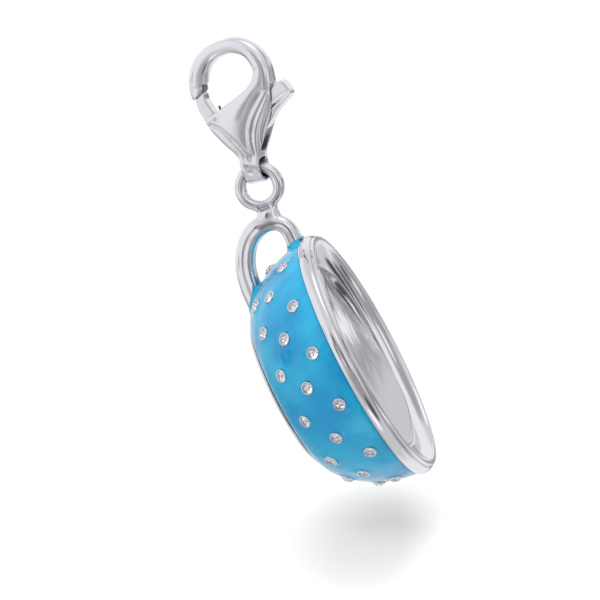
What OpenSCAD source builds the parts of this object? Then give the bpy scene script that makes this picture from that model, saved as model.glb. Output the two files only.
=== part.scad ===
// Teacup charm on a lobster clasp.
// The origin is the inside top of the clasp's hook, where the charm hangs, and +Z is up.
// The clasp and the cup are each drawn in a frame of their own and then put in place.

/* [Cup] */
// Outer radius of the silver band round the rim
rim_r = 11; // [10.6:0.05:11.4]
// Height of the silver band
band_h = 1.05; // [0.8:0.05:1.3]
// Height of the thin lip above the band
lip_h = 0.3; // [0.2:0.05:0.4]
// Depth of the cup from its lip to the underside of its foot
cup_h = 8.4; // [8:0.1:9]
// Radius of the foot
foot_r = 6.4; // [6:0.1:6.8]
// Thickness of the foot's edge
foot_h = 0.28; // [0.2:0.02:0.4]
// Depth of the crease where the inner wall meets the floor
floor_depth = 1.1; // [0.9:0.05:1.4]
// Radius of that crease
floor_r = 8.65; // [8.2:0.05:9]
// Dish of the floor, from the crease to its middle
floor_dish = 0.35; // [0.1:0.05:0.6]
// Thickness of the floor and of the hollow wall
wall = 0.85; // [0.7:0.05:1.1]

/* [Enamel] */
// Thickness of the enamel coat
enamel_t = 0.35; // [0.25:0.05:0.45]
// Gap between pieces that sit on each other
seat_gap = 0.02; // [0.01:0.01:0.04]

/* [Stones] */
// Radius of a stone at its girdle
stone_r = 0.43; // [0.38:0.01:0.46]
// Outer radius of a bezel
bezel_r = 0.56; // [0.52:0.01:0.6]
// Height of a bezel above the enamel
bezel_h = 0.16; // [0.1:0.02:0.24]
// Facets round a stone
stone_facets = 8; // [8:2:12]

/* [Handle and bail ring] */
// Half the thickness of the handle, in the plane of its loop
handle_a = 0.76; // [0.65:0.01:0.95]
// Half the width of the handle, across that plane
handle_b = 0.84; // [0.7:0.02:0.9]
// Radius of the bail ring to the middle of its wire
ring_r = 1.62; // [1.6:0.01:1.66]
// Radius of the ring's wire
ring_wire = 0.5; // [0.45:0.01:0.52]
// Angle of the cup's axis above level, as the cup hangs
cup_tilt = 4.5; // [0:0.1:15]

/* [Clasp] */
// Radius of the hook to the middle of its wire
hook_r = 3.05; // [2.95:0.05:3.15]
// Floor of the eye's hole below the eye's middle
eye_floor = 0.85; // [0.83:0.01:0.9]
// Underside of the eye below its middle
eye_r = 1.58; // [1.5:0.01:1.62]
// Half the depth of the eye, from front to back
eye_depth = 1.15; // [1.1:0.01:1.25]
// Half the width of the eye
eye_half = 0.84; // [0.75:0.01:0.86]
// Width of the slot between the cheeks
slot_w = 1.2; // [1.15:0.01:1.25]
// Thickness of the lever
lever_t = 1; // [0.9:0.02:1.04]
// Radius of the lever's pin
pin_r = 0.38; // [0.3:0.01:0.42]
// Diameter of the spring's wire
spring_wire = 0.18; // [0.14:0.02:0.18]
// Lean of the clasp from upright
clasp_lean = 10.7; // [0:0.1:15]
// Turn of the clasp about its own length
clasp_turn = 15; // [0:1:20]

/* [Hidden] */
$fn = 96;

// Places in the clasp's own frame: x along the eye's hole, y to the back, z up, from the middle of the eye.
hook_c = [-0.56, 7.1];
pivot = [-0.9, 2.2];
hang_point = [-0.98, 0, 9.35];
// The bail ring's middle from the eye's middle: to the left and down, its wire just above the hole's floor.
ring_left = 0.367;
ring_drop = 1.905;
// The eye is a little to the left in the clasp, so that it's centred over the ring.
eye_x = -0.14;
slot_half = slot_w / 2;
lever_half = lever_t / 2;

// Hook: degree round the hook's middle, radius against hook_r, half thickness in its plane, half depth.
HOOK = [[-34, 0.97, 0.94, 1.2], [-20, 0.98, 0.9, 1.12], [0, 0.99, 0.84, 1.0], [22, 1.01, 0.8, 0.9],
        [47, 1.03, 0.72, 0.82], [70, 1.01, 0.69, 0.76], [95, 0.965, 0.65, 0.74], [117, 0.975, 0.7, 0.74],
        [140, 0.985, 0.78, 0.76], [165, 1.0, 0.83, 0.78], [194, 1.015, 0.83, 0.78]];
// Cheeks and neck: height, left edge, right edge, half depth.
CHEEKS = [[0.3, -1.15, 0.95, 0.95], [0.7, -1.32, 1.02, 1.05], [1.2, -1.6, 1.25, 1.18],
          [1.9, -2.2, 1.68, 1.34], [2.8, -2.85, 2.2, 1.46], [3.7, -3.4, 2.72, 1.5],
          [4.3, -3.62, 2.98, 1.46], [4.9, -3.3, 3.16, 1.38], [5.5, -1.8, 3.28, 1.28],
          [6.1, -0.6, 3.32, 1.18], [6.7, 0.4, 3.28, 1.08],
          [7.3, 1.3, 3.15, 1.0], [8.0, 1.78, 2.9, 0.85]];
// Opening of the hook below its round part, with the throat edge of the cheeks: x, z.
THROAT = [[-4.6, 4.0], [-3.3, 4.4], [-1.9, 4.95], [-0.7, 5.5], [0.05, 5.82], [0.62, 6.12],
          [1.1, 6.45], [1.5, 6.85], [1.72, 7.3], [1.7, 8.2], [-0.6, 9.0], [-4.6, 8.6]];
// Slot between the cheeks: x, z.
SLOT = [[-3.95, 4.6], [-3.62, 4.14], [-3.12, 3.62], [-2.42, 2.86], [-2.06, 2.2], [-1.75, 1.45],
        [-1.2, 1.06], [-0.4, 1.0], [4, 1.0], [4, 6.35], [3.1, 6.2], [2.4, 5.82], [1.4, 5.3],
        [0.6, 7.4], [-3.95, 7.4]];
// Lever: x, z, from the tip of its tongue down its left side and back along its top.
LEVER = [[-4.1, 6.6], [-3.95, 5.4], [-3.56, 4.36], [-2.98, 3.66], [-2.3, 2.92], [-1.92, 2.2],
         [-1.62, 1.5], [-0.9, 1.2], [-0.2, 1.42], [0.5, 1.76], [1.2, 2.22], [2.0, 2.86], [2.5, 3.4],
         [3.05, 3.98], [3.75, 4.5], [4.4, 4.92], [4.66, 5.2], [4.6, 5.56], [4.24, 6.2], [4.0, 6.42],
         [3.7, 6.4], [3.3, 6.05], [2.5, 5.62], [1.4, 5.1], [0, 4.64], [-1.5, 4.42], [-2.4, 4.6],
         [-2.8, 5.3], [-3.12, 6.1], [-3.2, 7.4]];
// The seam between the tongue's tip and the hook's tip: a point on it, its slope and its gap.
seam_at = [-3.45, 6.6];
seam_slope = 33;
seam_gap = 0.06;

// Handle, in the cup's frame: out from the axis, along the axis, size against handle_a and handle_b.
HANDLE = [[9.7, -1.8, 1.1], [10.6, -1.78, 0.98], [11.4, -1.76, 0.92], [12.1, -1.76, 0.88], [12.75, -2.0, 0.87],
          [13.2, -2.45, 0.88], [13.48, -3.1, 0.95], [13.55, -3.85, 1.03], [13.35, -4.6, 1.05],
          [12.9, -5.28, 1.05], [12.3, -5.85, 1.06], [11.5, -6.35, 1.08], [10.6, -6.7, 1.1],
          [9.4, -6.93, 1.12], [8.2, -7.0, 1.15], [7.2, -7.0, 1.16]];
// Solder between the handle and the bail ring: out from the axis, along the axis, half thickness, half width.
SOLDER = [[15.0, -2.62, 0.5, 0.42], [14.7, -2.66, 0.66, 0.5], [14.35, -2.7, 0.98, 0.62],
          [13.95, -2.8, 1.02, 0.68], [13.5, -3.0, 0.85, 0.6]];
// Enamel collars at the handle's roots: foot out from the axis and along it, foot and top radius, height,
// then a point on the border with the bare silver and the degree that the border faces.
COLLARS = [[9.4, -1.78, 1.1, 0.86, 2.0, 10.95, -2.1, -12], [7.4, -6.8, 1.45, 0.98, 2.6, 8.98, -6.78, -62]];
// The bail ring's middle in the cup's frame: out from the axis, along the axis.
ring_at = [16.5, -2.37];

// Rows of stones: depth below the lip, then the degrees from the handle, which stand on both sides.
ROWS = [[2.9, [26, 54, 79, 105, 134, 166]],
        [4.72, [38, 65.5, 92, 120.5, 151]],
        [6.4, [30, 53, 80, 107.5, 137, 162]]];
// The middle row also has one stone under the handle and one opposite.
ROW_ENDS = [[], [0, 180], []];
function row_angles(row) = concat(ROW_ENDS[row], ROWS[row][1], [for (a = ROWS[row][1]) -a]);
STONES = [for (row = [0:2]) for (angle = row_angles(row)) [ROWS[row][0], angle]];

function two_digits(n) = str(floor(n / 10), n % 10);
function stone_name(i) = str("stone_", two_digits(i + 1));
METAL_NODES = ["clasp_body", "clasp_lever", "lever_pin", "lever_spring", "cup_silver", "cup_enamel"];

silver = [0.8, 0.8, 0.83];
steel = [0.4, 0.39, 0.4];
blue = [0.2, 0.62, 0.83];
clear = [0.93, 0.95, 0.98];

// Catmull and Rom's curve through rows of numbers, with so many steps between rows.
function between(a, b, c, d, t) =
    0.5 * (2 * b + (c - a) * t + (2 * a - 5 * b + 4 * c - d) * t * t + (3 * b - a - 3 * c + d) * t * t * t);
function smooth_rows(rows, steps) = let (last = len(rows) - 1) concat(
    [for (i = [0:last - 1]) for (s = [0:steps - 1])
        between(rows[max(i - 1, 0)], rows[i], rows[i + 1], rows[min(i + 2, last)], s / steps)],
    [rows[last]]);

// Cosine and sine of a superellipse: square shoulders come from a power above 2.
function sign_pow(v, power) = sign(v) * pow(abs(v), 2 / power);
function oval(angle, power) = [sign_pow(cos(angle), power), sign_pow(sin(angle), power)];

// A closed skin over rings that have the same number of points.
module skin(rings) {
    count = len(rings[0]);
    last = len(rings) - 1;
    points = [for (ring = rings) for (point = ring) point];
    sides = [for (i = [0:last - 1]) for (k = [0:count - 1]) let (next = (k + 1) % count)
        [i * count + k, (i + 1) * count + k, (i + 1) * count + next, i * count + next]];
    first_cap = [for (k = [0:count - 1]) k];
    last_cap = [for (k = [count - 1:-1:0]) last * count + k];
    polyhedron(points, concat([first_cap], sides, [last_cap]), convexity = 6);
}

// Rings of an oval bar whose middle line runs in the xz plane. A row is x, z, half thickness, half width.
function bar_rings(rows, count, power) = let (last = len(rows) - 1)
    [for (i = [0:last]) let (
        ahead = rows[min(i + 1, last)], behind = rows[max(i - 1, 0)],
        run = [ahead[0] - behind[0], ahead[1] - behind[1]],
        side = [run[1], -run[0]] / norm(run))
        [for (k = [0:count - 1]) let (o = oval(360 * k / count, power))
            [rows[i][0] + side[0] * rows[i][2] * o[0], rows[i][3] * o[1], rows[i][1] + side[1] * rows[i][2] * o[0]]]];

// The cup's outside, as points of radius and height: a bowl curve from under the band to the foot. The first
// power keeps the wall steep below the band, and the second rounds it into the foot.
band_foot = -lip_h - band_h;
band_round = 0.25;
wall_top_r = rim_r - band_round;
wall_foot = foot_h - cup_h;
steep_power = 1.7;
round_power = 0.6;
function bowl_r(z) = let (u = (band_foot - z) / (band_foot - wall_foot))
    foot_r + (wall_top_r - foot_r) * pow(max(1 - pow(u, steep_power), 0), round_power);
function bowl_z(i, steps) = let (s = sin(90 * i / steps)) band_foot + (wall_foot - band_foot) * s;
function bowl(steps) = [for (i = [0:steps]) [bowl_r(bowl_z(i, steps)), bowl_z(i, steps)]];
// A curve moved to its own inner side.
function inset(curve, by) = let (last = len(curve) - 1)
    [for (i = [0:last]) let (
        run = curve[min(i + 1, last)] - curve[max(i - 1, 0)],
        inward = [run[1], -run[0]] / norm(run))
        curve[i] + inward * by];
// Degrees that the outside leans under at a height.
function bowl_lean(z) = atan((bowl_r(z + 0.05) - bowl_r(z - 0.05)) / 0.1);

bowl_steps = 14;
enamel_skin = bowl(bowl_steps);
// The same without its two ends, which are carried straight on to the given heights.
function trimmed(curve, top, bottom) = let (last = len(curve) - 1) concat([[curve[1][0], top]],
    [for (i = [1:last - 1]) curve[i]], [[curve[last - 1][0], bottom]]);
silver_skin = trimmed(inset(enamel_skin, enamel_t + seat_gap), band_foot, wall_foot);
hollow_skin = inset(enamel_skin, enamel_t + seat_gap + wall);

// Quadratic curve between two points with one control point.
function bend(a, b, c, steps) = [for (i = [0:steps]) let (t = i / steps)
    (1 - t) * (1 - t) * a + 2 * t * (1 - t) * b + t * t * c];

// Rim, from the crease of the floor up the inner wall and down the outside of the band.
lip_in_r = rim_r - 0.78;
lip_out_r = rim_r - 0.3;
lip_round = 0.12;
inner_wall = bend([floor_r, -floor_depth], [rim_r - 1.3, -0.72], [lip_in_r, -lip_round], 6);
lip_top = [[lip_in_r + 0.05, -0.03], [lip_in_r + lip_round, 0], [lip_out_r - lip_round, 0],
           [lip_out_r - 0.03, -0.04], [lip_out_r, -lip_round], [lip_out_r, -lip_h + 0.03]];
band_bulge = [for (i = [0:8]) let (a = -90 + 180 * i / 8)
    [wall_top_r + band_round * cos(a), -lip_h - band_h / 2 - band_h / 2 * sin(a)]];
floor_curve = bend([0, -floor_depth - floor_dish], [floor_r * 0.6, -floor_depth - floor_dish * 0.9],
                   [floor_r, -floor_depth], 6);

module cup_lathe() {
    rotate_extrude() polygon(concat(
        floor_curve, inner_wall, lip_top, band_bulge, silver_skin,
        [[foot_r, wall_foot], [foot_r, -cup_h], [0, -cup_h]]));
}

// The hollow between the floor, the wall and the foot, closed all round.
module cup_hollow() {
    top = -floor_depth - floor_dish - wall;
    bottom = -cup_h + wall;
    side = [for (p = hollow_skin) if (p[1] < top && p[1] > bottom) p];
    rotate_extrude() polygon(concat([[0, top], [side[0][0], top]], side, [[side[len(side) - 1][0], bottom], [0, bottom]]));
}

module handle(extra = 0) {
    rows = [for (row = smooth_rows(HANDLE, 3))
        [row[0], row[1], handle_a * row[2] + extra, handle_b * row[2] + extra]];
    skin(bar_rings(rows, 16, 2.4));
}

module bail_ring() {
    translate([ring_at[0], 0, ring_at[1]]) rotate([90, 0, 0]) rotate_extrude() translate([ring_r, 0])
        circle(r = ring_wire, $fn = 32);
}

// Puts what it holds on the enamel at a stone's place, with +z straight out of the surface.
module at_stone(stone) {
    z = -stone[0];
    rotate([0, 0, stone[1]]) translate([bowl_r(z), 0, z]) rotate([0, 90 + bowl_lean(z), 0]) children();
}

// Bezels reach down into the silver wall and hold a seat for the stone.
seat_depth = 0.3;
module bezel() {
    root = enamel_t + wall / 2;
    difference() {
        translate([0, 0, -root]) cylinder(r = bezel_r, h = root + bezel_h, $fn = 24);
        translate([0, 0, bezel_h - seat_depth]) cylinder(r = stone_r + seat_gap, h = seat_depth + 1, $fn = 24);
    }
}

module bezel_hole() {
    translate([0, 0, -enamel_t * 2]) cylinder(r = bezel_r + seat_gap, h = enamel_t * 4, $fn = 24);
}

// A round cut stone: table, crown, girdle and a blunted point, its girdle level with the bezel's edge.
girdle_h = 0.05;
crown_h = 0.15;
table_r = stone_r * 0.56;
point_r = 0.12;
point_h = 0.18;
module cut_stone() {
    turn = 180 / stone_facets;
    translate([0, 0, bezel_h - girdle_h]) {
        translate([0, 0, girdle_h]) rotate([0, 0, turn])
            cylinder(r1 = stone_r, r2 = table_r, h = crown_h, $fn = stone_facets);
        rotate([0, 0, turn]) cylinder(r = stone_r, h = girdle_h, $fn = stone_facets);
        translate([0, 0, -point_h]) rotate([0, 0, turn])
            cylinder(r1 = point_r, r2 = stone_r, h = point_h, $fn = stone_facets);
    }
}

// A block wider than any collar, which cuts it off at its border.
collar_cut = 6;
module collar(row) {
    difference() {
        translate([row[0], 0, row[1]]) rotate([0, 90, 0]) cylinder(r1 = row[2], r2 = row[3], h = row[4], $fn = 48);
        translate([row[5], 0, row[6]]) rotate([0, -row[7], 0])
            translate([0, -collar_cut / 2, -collar_cut / 2]) cube(collar_cut);
    }
}

// The clasp's hook, swept round its middle, and cut square to the seam at its tip.
module hook() {
    rows = [for (row = smooth_rows(HOOK, 4))
        let (r = hook_r * row[1])
        [hook_c[0] + r * cos(row[0]), hook_c[1] + r * sin(row[0]), row[2], row[3]]];
    difference() {
        skin(bar_rings(rows, 16, 2.2));
        seam_side(-1);
    }
}

// Everything below the seam (side -1) or above it (side 1), with half the gap. The block reaches past both tips.
seam_block = [2.6, 4, 3];
seam_left = 1.2;
module seam_side(side) {
    translate([seam_at[0], 0, seam_at[1]]) rotate([0, -seam_slope, 0])
        translate([-seam_left, -seam_block[1] / 2, side > 0 ? -seam_gap / 2 : seam_gap / 2 - seam_block[2]])
            cube(seam_block);
}

function cheek_ring(row, count) = let (middle = (row[1] + row[2]) / 2, half = (row[2] - row[1]) / 2)
    [for (k = [0:count - 1]) let (o = oval(360 * k / count, 2.3))
        [middle + half * o[0], row[3] * o[1], row[0]]];

module upright(outline, thickness) {
    rotate([90, 0, 0]) translate([0, 0, -thickness / 2]) linear_extrude(thickness) polygon(outline);
}

function oval_ring(x, depth, top, bottom) = let (middle = (top - bottom) / 2, half = (top + bottom) / 2)
    [for (k = [0:31]) [eye_x + x, depth * cos(11.25 * k), middle + half * sin(11.25 * k)]];

// Eye's hole, flared to both ends so the ring can turn in it: share of the half width, then what it opens by
// at the floor and at the sides.
FLARE = [[0.12, 0, 0], [0.4, 0.1, 0.06], [0.65, 0.23, 0.14], [0.85, 0.4, 0.23], [1, 0.57, 0.32], [1.3, 0.9, 0.44]];
hole_depth = 0.63;
hole_top = 0.55;
barrel_top = 1.4;
barrel_bevel = 0.08;
module eye_hole() {
    half = [for (row = FLARE) oval_ring(row[0] * eye_half, hole_depth + row[2], hole_top, eye_floor + row[1])];
    other = [for (i = [len(FLARE) - 1:-1:0]) let (row = FLARE[i])
        oval_ring(-row[0] * eye_half, hole_depth + row[2], hole_top, eye_floor + row[1])];
    skin(concat(other, half));
}

module eye_barrel() {
    inner = 1 - barrel_bevel / eye_half;
    skin([for (row = [[-1, barrel_bevel], [-inner, 0], [inner, 0], [1, barrel_bevel]])
        oval_ring(row[0] * eye_half, eye_depth - row[1], barrel_top, eye_r - row[1])]);
}

module at_pivot() {
    translate([pivot[0], 0, pivot[1]]) rotate([90, 0, 0]) children();
}

module place_clasp() {
    rotate([0, clasp_lean, 0]) rotate([0, 0, -clasp_turn]) translate(-hang_point) children();
}

// The ring's middle in the charm's frame: below the eye, where the ring's wire rests on the floor of the hole.
function clasp_to_charm(p) = let (q = p - hang_point,
    t = [q[0] * cos(clasp_turn) + q[1] * sin(clasp_turn), q[1] * cos(clasp_turn) - q[0] * sin(clasp_turn), q[2]])
    [t[0] * cos(clasp_lean) + t[2] * sin(clasp_lean), t[1], t[2] * cos(clasp_lean) - t[0] * sin(clasp_lean)];
eye_at = clasp_to_charm([eye_x, 0, 0]);
ring_centre = eye_at - [ring_left, 0, ring_drop];

module place_cup() {
    translate(ring_centre) rotate([0, 90 - cup_tilt, 0]) rotate([0, 0, 180])
        translate([-ring_at[0], 0, -ring_at[1]]) children();
}

// The pin is let into both cheeks, tight in them and loose in the lever.
pin_half = slot_half + 0.42;
pin_play = 0.04;
pin_fit = 0.01;

module clasp_body() {
    color(silver) place_clasp() difference() {
        union() {
            difference() {
                skin([for (row = smooth_rows(CHEEKS, 2)) cheek_ring(row, 20)]);
                upright(THROAT, 6);
            }
            hook();
            eye_barrel();
        }
        upright(SLOT, slot_w);
        eye_hole();
        // Blind bores in both cheeks for the pin.
        at_pivot() cylinder(r = pin_r + pin_fit, h = 2 * (pin_half + pin_fit), center = true, $fn = 48);
    }
}

spring_r = 0.6;
coil_turns = 1.5;
coil_pitch = spring_wire * 1.06;
coil_front = seat_gap + spring_wire / 2 - lever_half;
pocket_depth = 0.52;
pocket_r = 0.82;
leg_play = 0.16;

module clasp_lever() {
    color(silver) place_clasp() {
        difference() {
            upright(LEVER, lever_t);
            seam_side(1);
            at_pivot() cylinder(r = pin_r + pin_play, h = 2 * slot_w, center = true, $fn = 48);
            // Pocket for the spring's coil, and the channel for its leg.
            at_pivot() translate([0, 0, lever_half - pocket_depth]) cylinder(r = pocket_r, h = 1, $fn = 48);
            spring_leg(spring_wire + leg_play);
        }
    }
}

module lever_pin() {
    color(silver) place_clasp() at_pivot() cylinder(r = pin_r, h = 2 * pin_half, center = true, $fn = 48);
}

// The leg of the spring leaves the coil on its left, in a channel in the lever's front, and ends in the throat.
leg_foot = [pivot[0] - spring_r, pivot[1]];
leg_end = [-2.05, 5.35];
leg_depth = coil_front + spring_wire / 4;
module spring_leg(thickness) {
    run = leg_end - leg_foot;
    translate([leg_foot[0], leg_depth, leg_foot[1]]) rotate([0, atan2(run[0], run[1]), 0])
        cylinder(r = thickness / 2, h = norm(run), $fn = 16);
}

module spring_coil() {
    skin([for (a = [0:22.5:360 * coil_turns]) [for (k = [0:5])
        let (r = spring_r + spring_wire / 2 * cos(60 * k), y = coil_front + coil_pitch * a / 360)
        [pivot[0] - r * cos(a), y - spring_wire / 2 * sin(60 * k), pivot[1] + r * sin(a)]]]);
}

module lever_spring() {
    color(steel) place_clasp() {
        spring_coil();
        spring_leg(spring_wire);
    }
}

module cup_silver() {
    color(silver) place_cup() {
        difference() {
            union() {
                cup_lathe();
                difference() {
                    handle();
                    translate([0, 0, -cup_h]) cylinder(r = foot_r, h = cup_h);
                }
                for (stone = STONES) at_stone(stone) bezel();
            }
            cup_hollow();
        }
        bail_ring();
        skin(bar_rings(smooth_rows(SOLDER, 2), 16, 2));
    }
}

// Room for the silver cup and what it bounds, just inside the enamel's inner skin.
module cup_room() {
    inner = trimmed(inset(enamel_skin, enamel_t), band_foot - seat_gap, -cup_h - 1);
    band = [for (p = band_bulge) if (p[1] < -lip_h - band_h / 2) p + [seat_gap, -seat_gap]];
    rotate_extrude() polygon(concat([[0, 1], [rim_r + seat_gap, 1], [rim_r + seat_gap, -lip_h - band_h / 2]],
        band, inner, [[0, -cup_h - 1]]));
}

module cup_enamel() {
    color(blue) place_cup() difference() {
        union() {
            rotate_extrude() polygon(concat([[0, band_foot]], enamel_skin, [[0, wall_foot]]));
            for (row = COLLARS) collar(row);
        }
        handle(seat_gap);
        cup_room();
        for (stone = STONES) at_stone(stone) bezel_hole();
    }
}

module stone(i) {
    color(clear) place_cup() at_stone(STONES[i]) cut_stone();
}

clasp_body();
clasp_lever();
lever_pin();
lever_spring();
cup_silver();
cup_enamel();
for (i = [0:len(STONES) - 1]) stone(i);
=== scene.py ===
"""Teacup charm: a silver teacup with blue enamel and clear stones, hanging from a lobster clasp."""
from math import atan, copysign, cos, degrees, exp, hypot, pi, radians, sin, sqrt, tan, tau

import bmesh
import bpy
import numpy as np
from mathutils import Matrix, Vector


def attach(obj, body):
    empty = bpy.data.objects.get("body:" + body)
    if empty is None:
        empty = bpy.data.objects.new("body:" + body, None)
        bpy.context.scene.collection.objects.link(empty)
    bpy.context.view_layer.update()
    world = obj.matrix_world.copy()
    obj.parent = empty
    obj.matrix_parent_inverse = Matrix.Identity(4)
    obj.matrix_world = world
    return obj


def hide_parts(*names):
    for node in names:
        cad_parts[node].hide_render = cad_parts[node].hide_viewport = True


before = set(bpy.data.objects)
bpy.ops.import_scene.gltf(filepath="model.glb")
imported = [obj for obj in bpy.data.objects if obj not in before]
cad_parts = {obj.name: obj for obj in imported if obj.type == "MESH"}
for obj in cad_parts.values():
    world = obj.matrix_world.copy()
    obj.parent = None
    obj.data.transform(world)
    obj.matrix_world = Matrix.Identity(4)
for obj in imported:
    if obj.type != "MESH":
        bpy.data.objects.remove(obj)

bl_info = {
    "name": "Teacup charm",
    "version": (1, 0, 0),
    "blender": (4, 5, 0),
    "location": "3D View > Sidebar > Charm",
    "description": "Makes a silver and enamel teacup charm on its clasp, piece by piece",
    "category": "Object",
}

MM = 0.001
# Points that lie closer together, in millimetres, are one.
TOUCHING = 1e-6


def hex_colour(code):
    """A colour written as in a web page, turned to the linear numbers that shaders use."""
    parts = [int(code[i:i + 2], 16) / 255 for i in (0, 2, 4)]
    linear = [p / 12.92 if p <= 0.04045 else ((p + 0.055) / 1.055) ** 2.4 for p in parts]
    return (*linear, 1.0)


# Sizes and colours that a user would change

def length_prop(name, description, default):
    return bpy.props.FloatProperty(name=name, description=description, default=default, precision=5, unit="LENGTH")


def colour_prop(name, description, code):
    return bpy.props.FloatVectorProperty(
        name=name, description=description, default=hex_colour(code), subtype="COLOR", size=4, min=0, max=1)


class CharmSizes(bpy.types.PropertyGroup):
    rim_radius: length_prop("Rim radius", "Outer radius of the band round the cup's rim", 0.011)
    enamel_thickness: length_prop("Enamel thickness", "Thickness of the enamel coat", 0.00035)
    bezel_radius: length_prop("Bezel radius", "Outer radius of a bezel", 0.00056)
    bezel_height: length_prop("Bezel height", "Height of a bezel above the enamel", 0.00018)
    stone_radius: length_prop("Stone radius", "Radius of a stone at its girdle", 0.00047)
    ring_radius: length_prop("Ring radius", "Radius of the bail ring to the middle of its wire", 0.00162)
    ring_wire: length_prop("Ring wire", "Radius of the bail ring's wire", 0.0005)
    spring_wire: length_prop("Spring wire", "Thickness of the spring's wire", 0.00018)
    casting_step: length_prop("Casting step", "Size of the mesh's squares on cast silver", 0.00007)


class CharmFinish(bpy.types.PropertyGroup):
    silver: colour_prop("Silver", "Colour of the polished silver", "F3F2F8")
    # Painted shade and tarnish: the colour that the silver's corners and creases are darkened towards.
    tarnish: colour_prop("Tarnish", "Colour of silver in corners that polishing misses", "A19D9F")
    enamel: colour_prop("Enamel", "Colour of the blue enamel", "14ABD5")
    enamel_deep: colour_prop("Enamel where thick", "Colour of the enamel where it lies thickest", "0091C8")
    steel: colour_prop("Spring steel", "Colour of the spring's wire", "6E6A69")


def sizes():
    return bpy.context.scene.charm_sizes


def finish():
    return bpy.context.scene.charm_finish


# The charm's plan, in millimetres, as its CAD source gives it

HOOK_CENTRE = (-0.56, 7.1)
HOOK_RADIUS = 3.05
PIVOT = (-0.9, 2.2)
HANG_POINT = (-0.98, 0.0, 9.35)
CLASP_LEAN = 10.7
CLASP_TURN = 15.0
CUP_TILT = 4.5
EYE_X = -0.14
RING_LEFT = 0.367
RING_DROP = 1.905
RING_AT = (16.5, -2.37)
SLOT_WIDTH = 1.2
LEVER_THICKNESS = 1.0
SEAM_AT = (-3.45, 6.6)
SEAM_SLOPE = 33.0
SEAM_GAP = 0.06

# Hook: degree round its middle, radius against HOOK_RADIUS, half thickness, half depth.
HOOK = ((-34, 0.97, 0.94, 1.2), (-20, 0.98, 0.9, 1.12), (0, 0.99, 0.84, 1.0), (22, 1.01, 0.8, 0.9),
        (47, 1.03, 0.72, 0.82), (70, 1.01, 0.69, 0.76), (95, 0.965, 0.65, 0.74), (117, 0.975, 0.7, 0.74),
        (140, 0.985, 0.78, 0.76), (165, 1.0, 0.83, 0.78), (194, 1.015, 0.83, 0.78))
# Cheeks and neck: height, left edge, right edge, half depth.
CHEEKS = ((0.3, -1.15, 0.95, 0.95), (0.7, -1.32, 1.02, 1.05), (1.2, -1.6, 1.25, 1.18), (1.9, -2.2, 1.68, 1.34),
          (2.8, -2.85, 2.2, 1.46), (3.7, -3.4, 2.72, 1.5), (4.3, -3.62, 2.98, 1.46), (4.9, -3.3, 3.16, 1.38),
          (5.5, -1.8, 3.28, 1.28), (6.1, -0.6, 3.32, 1.18), (6.7, 0.4, 3.28, 1.08), (7.3, 1.3, 3.15, 1.0),
          (8.0, 1.78, 2.9, 0.85))
THROAT = ((-4.6, 4.0), (-3.3, 4.4), (-1.9, 4.95), (-0.7, 5.5), (0.05, 5.82), (0.62, 6.12), (1.1, 6.45), (1.5, 6.85),
          (1.72, 7.3), (1.7, 8.2), (-0.6, 9.0), (-4.6, 8.6))
SLOT = ((-3.95, 4.6), (-3.62, 4.14), (-3.12, 3.62), (-2.42, 2.86), (-2.06, 2.2), (-1.75, 1.45), (-1.2, 1.06),
        (-0.4, 1.0), (4, 1.0), (4, 6.35), (3.1, 6.2), (2.4, 5.82), (1.4, 5.3), (0.6, 7.4), (-3.95, 7.4))
LEVER = ((-4.1, 6.6), (-3.95, 5.4), (-3.56, 4.36), (-2.98, 3.66), (-2.3, 2.92), (-1.92, 2.2), (-1.62, 1.5),
         (-0.9, 1.2), (-0.2, 1.42), (0.5, 1.76), (1.2, 2.22), (2.0, 2.86), (2.5, 3.4), (3.05, 3.98), (3.75, 4.5),
         (4.4, 4.92), (4.66, 5.2), (4.6, 5.56), (4.24, 6.2), (4.0, 6.42), (3.7, 6.4), (3.3, 6.05), (2.5, 5.62),
         (1.4, 5.1), (0, 4.64), (-1.5, 4.42), (-2.4, 4.6), (-2.8, 5.3), (-3.12, 6.1), (-3.2, 7.4))
# Where the hook runs into the cheeks: a point of the clasp's plane, reach and rounds of smoothing.
BLEND = ((2.1, 6.3), 2.2, 60)
# Lines on both cheeks: height (a groove below zero), half width, and points in the clasp's plane.
CHASING = (
    (-0.24, 0.15, ((-2.97, 3.95), (-2.06, 3.44), (-1.3, 2.66), (-0.73, 1.91), (-0.34, 1.15), (-0.13, 0.43))),
    (0.13, 0.36, ((-3.31, 4.1), (-2.78, 3.15), (-2.08, 2.16), (-1.35, 1.26), (-0.82, 0.31), (-0.45, -0.53))),
    (-0.18, 0.3, ((2.28, 5.6), (1.62, 4.93), (0.89, 3.98), (0.37, 2.96), (0.12, 1.88), (0.08, 0.8))),
    (-0.07, 0.6, ((1.9, 5.4), (1.2, 4.7), (0.5, 3.8), (0.15, 2.85), (-0.05, 1.85), (-0.05, 0.94))),
    (0.17, 0.2, ((2.55, 5.63), (1.86, 4.91), (1.12, 3.94), (0.6, 2.93), (0.35, 1.87), (0.32, 0.77))),
    (-0.08, 0.1, ((2.68, 5.6), (2.13, 4.86), (1.37, 3.81), (0.85, 2.8), (0.57, 1.75), (0.5, 0.74))),
    (0.12, 0.17, ((2.73, 5.42), (2.27, 4.66), (1.66, 3.67), (1.14, 2.66), (0.85, 1.61), (0.73, 0.69))),
    (-0.1, 0.11, ((2.85, 5.32), (2.48, 4.54), (1.98, 3.61), (1.46, 2.6), (1.15, 1.55), (0.95, 0.74))),
    (-0.1, 0.1, ((-0.13, 0.43), (0.24, 0.02), (0.59, -0.3), (1.08, -0.45))),
    (-0.06, 0.12, ((-4.29, 7.43), (-3.79, 7.16), (-3.23, 7.14), (-2.63, 7.28))),
)
# Where the chased lines are polished softer.
CHASING_POLISH = ((1.0, 2.9), 5.0, 3)
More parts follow.
